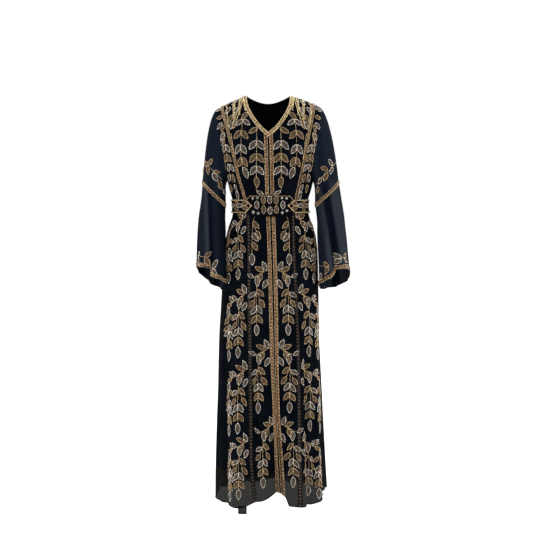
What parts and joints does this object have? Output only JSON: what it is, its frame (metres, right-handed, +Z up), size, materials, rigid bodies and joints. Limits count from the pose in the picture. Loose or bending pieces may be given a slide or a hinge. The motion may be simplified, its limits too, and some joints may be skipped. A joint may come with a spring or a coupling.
{
  "type": "beaded dress",
  "caption": "Floor-length hollow kaftan dress with a V neck, wide sleeves with slanting elbow bands, panelled skirt, beaded trims and a jewelled belt, in its worn form.",
  "frame": {"origin": "between the shoulders at the height of the neck points, where the wearer carries the dress", "axes": "+Z up along the wearer, front of the dress towards -Y, +X to the right of someone looking at its front"},
  "size_m": [0.5224, 0.322, 1.37],
  "materials": {
    "cloth": "black woven georgette, matt with a faint blue cast",
    "sleeve_cloth": "thin black-blue georgette, lighter where light comes through",
    "gold_trim": "dark ribbon covered with gold beads and brown square stones",
    "belt_cloth": "black velvet ribbon edged with gold beads and set with jewels",
    "gold_bead": "antique gold glass beads with a metallic lining",
    "silver_bead": "champagne silver glass beads with a metallic lining",
    "brown_stone": "faceted topaz brown stones",
    "clear_stone": "faceted clear stones on foil"
  },
  "bodies": {
    "root": {"bodice_centre_left": "cloth", "skirt_centre_left": "cloth", "bodice_centre_right": "cloth", "skirt_centre_right": "cloth", "bodice_side_left": "cloth", "skirt_side_left": "cloth", "side_gore_left": "cloth", "bodice_side_right": "cloth", "skirt_side_right": "cloth", "side_gore_right": "cloth", "bodice_back_left": "cloth", "skirt_back_left": "cloth", "back_gore_left": "cloth", "bodice_back_right": "cloth", "skirt_back_right": "cloth", "back_gore_right": "cloth", "sleeve_upper_left": "sleeve_cloth", "sleeve_upper_right": "sleeve_cloth", "sleeve_lower_left": "sleeve_cloth", "sleeve_lower_right": "sleeve_cloth", "neckband": "gold_trim", "placket_left": "gold_trim", "placket_right": "gold_trim", "princess_left": "gold_trim", "princess_right": "gold_trim", "elbow_band_left": "gold_trim", "elbow_band_right": "gold_trim", "cuff_band_left": "gold_trim", "cuff_band_right": "gold_trim", "belt_centre": "belt_cloth", "belt_left": "belt_cloth", "belt_right": "belt_cloth", "belt_back": "belt_cloth"}
  },
  "joints": []
}
